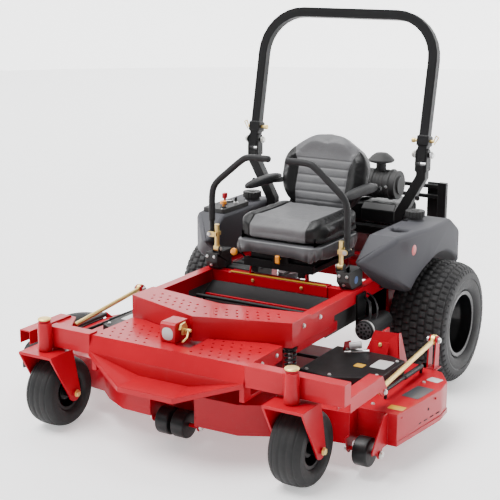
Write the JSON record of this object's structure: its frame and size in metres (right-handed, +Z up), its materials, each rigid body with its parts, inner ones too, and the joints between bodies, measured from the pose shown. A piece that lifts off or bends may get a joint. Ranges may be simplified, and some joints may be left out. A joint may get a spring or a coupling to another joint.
{
  "type": "zero turn mower",
  "caption": "Ride-on zero turn mower with sprung front platform, floating deck, swivelling casters, lap bars, suspension seat and folding roll bar.",
  "frame": {"origin": "centre of the bounding box, on the ground", "axes": "+X to the operator's left, +Y to the rear, +Z up"},
  "size_m": [2.02, 2.203, 1.809],
  "materials": {
    "red_paint": "gloss",
    "black_paint": "satin",
    "tank_plastic": "moulded grain",
    "seat_vinyl": "grained",
    "gold_zinc": "yellow passivated",
    "zinc": "satin",
    "steel": "ground",
    "tyre": "moulded",
    "rubber": "matte",
    "orange_plastic": "gloss",
    "black_plastic": "moulded",
    "grey_plastic": "moulded",
    "casting": "cast",
    "armrest_foam": "skinned foam"
  },
  "bodies": {
    "chassis": {"main_frame": "red_paint", "front_platform": "red_paint", "caster_carrier": "red_paint", "latch_box": "red_paint", "support_springs": "black_paint", "floor_pan": "black_paint", "floor_lip": "red_paint", "control_boxes": "black_plastic", "fuel_tank_left": "tank_plastic", "fuel_tank_right": "tank_plastic", "side_console": "black_plastic", "rops_base": "black_paint", "engine_block": "casting", "engine_cowl": "grey_plastic", "air_cleaner": "black_plastic", "muffler": "zinc", "engine_guard": "black_paint", "hydro_drives": "casting", "lift_motor": "black_paint", "battery": "black_plastic"},
    "rear_wheel_left": {"rear_rim_left": "black_paint", "rear_tyre_left": "tyre"},
    "rear_wheel_right": {"rear_rim_right": "black_paint", "rear_tyre_right": "tyre"},
    "caster_left": {"caster_fork_left": "red_paint"},
    "caster_wheel_left": {"caster_rim_left": "black_paint", "caster_tyre_left": "tyre"},
    "caster_right": {"caster_fork_right": "red_paint"},
    "caster_wheel_right": {"caster_rim_right": "black_paint", "caster_tyre_right": "tyre"},
    "lever_left": {"drive_lever_left": "gold_zinc"},
    "bar_left": {"lap_bar_left": "black_paint"},
    "lever_right": {"drive_lever_right": "gold_zinc"},
    "bar_right": {"lap_bar_right": "black_paint"},
    "seat_frame": {"seat_base": "black_paint"},
    "seat": {"seat_cushion": "seat_vinyl"},
    "backrest": {"seat_back": "seat_vinyl"},
    "arm_left": {"armrest_left": "armrest_foam"},
    "arm_right": {"armrest_right": "armrest_foam"},
    "latch": {"seat_latch": "orange_plastic"},
    "throttle": {"throttle_lever": "red_paint"},
    "blade_switch": {"pto_knob": "orange_plastic"},
    "cap_left": {"fuel_cap_left": "black_plastic"},
    "cap_right": {"fuel_cap_right": "black_plastic"},
    "platform_latch": {"tilt_latch": "gold_zinc"},
    "roll_hoop": {"rops_hoop": "black_paint", "rops_pins": "gold_zinc"},
    "deck": {"deck_shell": "red_paint", "belt_covers": "black_paint", "deck_belt": "rubber"},
    "chute": {"discharge_chute": "rubber"},
    "cutter_left": {"blade_left": "steel"},
    "cutter_centre": {"blade_centre": "steel"},
    "cutter_right": {"blade_right": "steel"},
    "front_roller_left": {"roller_front_left": "rubber"},
    "front_roller_right": {"roller_front_right": "rubber"},
    "side_roller_left": {"roller_side_left": "rubber"},
    "side_roller_right": {"roller_side_right": "rubber"},
    "link_left": {"lift_link_left": "gold_zinc"},
    "link_right": {"lift_link_right": "gold_zinc"}
  },
  "joints": [
    {"name": "rear_wheel_left_spin", "type": "hinge", "parent": "chassis", "child": "rear_wheel_left", "pos_m": [0.654, 0.5415, 0.305], "axis": [1, 0, 0], "continuous": true},
    {"name": "rear_wheel_right_spin", "type": "hinge", "parent": "chassis", "child": "rear_wheel_right", "pos_m": [-0.554, 0.5415, 0.305], "axis": [1, 0, 0], "continuous": true},
    {"name": "caster_left_swivel", "type": "hinge", "parent": "chassis", "child": "caster_left", "pos_m": [0.676, -0.9815, 0.44], "axis": [0, 0, 1], "continuous": true},
    {"name": "caster_left_roll", "type": "hinge", "parent": "caster_left", "child": "caster_wheel_left", "pos_m": [0.676, -0.9005, 0.163], "axis": [1, 0, 0], "continuous": true},
    {"name": "caster_right_swivel", "type": "hinge", "parent": "chassis", "child": "caster_right", "pos_m": [-0.576, -0.9815, 0.44], "axis": [0, 0, 1], "continuous": true},
    {"name": "caster_right_roll", "type": "hinge", "parent": "caster_right", "child": "caster_wheel_right", "pos_m": [-0.576, -0.9005, 0.163], "axis": [1, 0, 0], "continuous": true},
    {"name": "drive_lever_left_swing", "type": "hinge", "parent": "chassis", "child": "lever_left", "pos_m": [0.392, -0.0065, 0.668], "axis": [1, 0, 0], "range_deg": [-12, 12]},
    {"name": "lap_bar_left_open", "type": "hinge", "parent": "lever_left", "child": "bar_left", "pos_m": [0.422, -0.0065, 0.742], "axis": [0, 1, 0], "range_deg": [0, 28]},
    {"name": "drive_lever_right_swing", "type": "hinge", "parent": "chassis", "child": "lever_right", "pos_m": [-0.292, -0.0065, 0.668], "axis": [1, 0, 0], "range_deg": [-12, 12]},
    {"name": "lap_bar_right_open", "type": "hinge", "parent": "lever_right", "child": "bar_right", "pos_m": [-0.322, -0.0065, 0.742], "axis": [0, -1, 0], "range_deg": [0, 28]},
    {"name": "seat_tilt", "type": "hinge", "parent": "chassis", "child": "seat_frame", "pos_m": [0.05, 0.0115, 0.59], "axis": [1, 0, 0], "range_deg": [0, 24]},
    {"name": "seat_slide", "type": "slide", "parent": "seat_frame", "child": "seat", "axis": [0, 1, 0], "range_m": [-0.05, 0.05]},
    {"name": "seat_recline", "type": "hinge", "parent": "seat", "child": "backrest", "pos_m": [0.05, 0.4315, 0.8], "axis": [-1, 0, 0], "range_deg": [0, 8]},
    {"name": "armrest_left_lift", "type": "hinge", "parent": "backrest", "child": "arm_left", "pos_m": [0.312, 0.4815, 0.95], "axis": [-1, 0, 0], "range_deg": [0, 85]},
    {"name": "armrest_right_lift", "type": "hinge", "parent": "backrest", "child": "arm_right", "pos_m": [-0.212, 0.4815, 0.95], "axis": [-1, 0, 0], "range_deg": [0, 85]},
    {"name": "seat_latch_pull", "type": "slide", "parent": "seat_frame", "child": "latch", "axis": [0, -1, 0], "range_m": [0, 0.008], "stiffness_N_per_m": 400},
    {"name": "throttle_swing", "type": "hinge", "parent": "chassis", "child": "throttle", "pos_m": [-0.422, 0.2715, 0.813], "axis": [1, 0, 0], "range_deg": [-20, 20]},
    {"name": "blade_switch_pull", "type": "slide", "parent": "chassis", "child": "blade_switch", "axis": [0, 0, 1], "range_m": [0, 0.01]},
    {"name": "fuel_cap_left_turn", "type": "hinge", "parent": "chassis", "child": "cap_left", "pos_m": [0.52, 0.5415, 0.82], "axis": [0, 0, 1], "range_deg": [0, 120]},
    {"name": "fuel_cap_right_turn", "type": "hinge", "parent": "chassis", "child": "cap_right", "pos_m": [-0.42, 0.5415, 0.82], "axis": [0, 0, 1], "range_deg": [0, 120]},
    {"name": "platform_latch_swing", "type": "hinge", "parent": "chassis", "child": "platform_latch", "pos_m": [0.001, -0.8025, 0.523], "axis": [1, 0, 0], "range_deg": [0, 35]},
    {"name": "roll_hoop_fold", "type": "hinge", "parent": "chassis", "child": "roll_hoop", "pos_m": [0.05, 0.5905, 1.12], "axis": [-1, 0, 0], "range_deg": [0, 95]},
    {"name": "deck_lift", "type": "slide", "parent": "chassis", "child": "deck", "axis": [0, 0, 1], "range_m": [-0.035, 0.045]},
    {"name": "lift_link_left_turn", "type": "hinge", "parent": "chassis", "child": "link_left", "pos_m": [0.868, -0.5865, 0.335], "axis": [1, 0, 0], "range_deg": [-4, 5]},
    {"name": "lift_link_right_turn", "type": "hinge", "parent": "chassis", "child": "link_right", "pos_m": [-0.768, -0.5865, 0.335], "axis": [1, 0, 0], "range_deg": [-4, 5]},
    {"name": "chute_lift", "type": "hinge", "parent": "deck", "child": "chute", "pos_m": [-0.881, -0.4085, 0.272], "axis": [0, 1, 0], "range_deg": [0, 80]},
    {"name": "blade_centre_spin", "type": "hinge", "parent": "deck", "child": "cutter_centre", "pos_m": [0.05, -0.4325, 0.142], "axis": [0, 0, 1], "continuous": true},
    {"name": "blade_left_spin", "type": "hinge", "parent": "deck", "child": "cutter_left", "pos_m": [0.653, -0.3205, 0.142], "axis": [0, 0, 1], "continuous": true},
    {"name": "blade_right_spin", "type": "hinge", "parent": "deck", "child": "cutter_right", "pos_m": [-0.553, -0.3205, 0.142], "axis": [0, 0, 1], "continuous": true},
    {"name": "front_roller_left_roll", "type": "hinge", "parent": "deck", "child": "front_roller_left", "pos_m": [0.056, -0.8265, 0.104], "axis": [1, 0, 0], "continuous": true},
    {"name": "front_roller_right_roll", "type": "hinge", "parent": "deck", "child": "front_roller_right", "pos_m": [-0.026, -0.8265, 0.104], "axis": [1, 0, 0], "continuous": true},
    {"name": "side_roller_left_roll", "type": "hinge", "parent": "deck", "child": "side_roller_left", "pos_m": [0.86, -0.6905, 0.104], "axis": [1, 0, 0], "continuous": true},
    {"name": "side_roller_right_roll", "type": "hinge", "parent": "deck", "child": "side_roller_right", "pos_m": [-0.76, -0.6905, 0.104], "axis": [1, 0, 0], "continuous": true}
  ],
  "couplings": [
    {"joint": "lift_link_left_turn", "follows": "deck_lift", "rad_per_m": 1.7241},
    {"joint": "lift_link_right_turn", "follows": "deck_lift", "rad_per_m": 1.7241},
    {"joint": "blade_left_spin", "follows": "blade_centre_spin", "ratio": 1},
    {"joint": "blade_right_spin", "follows": "blade_centre_spin", "ratio": 1}
  ]
}
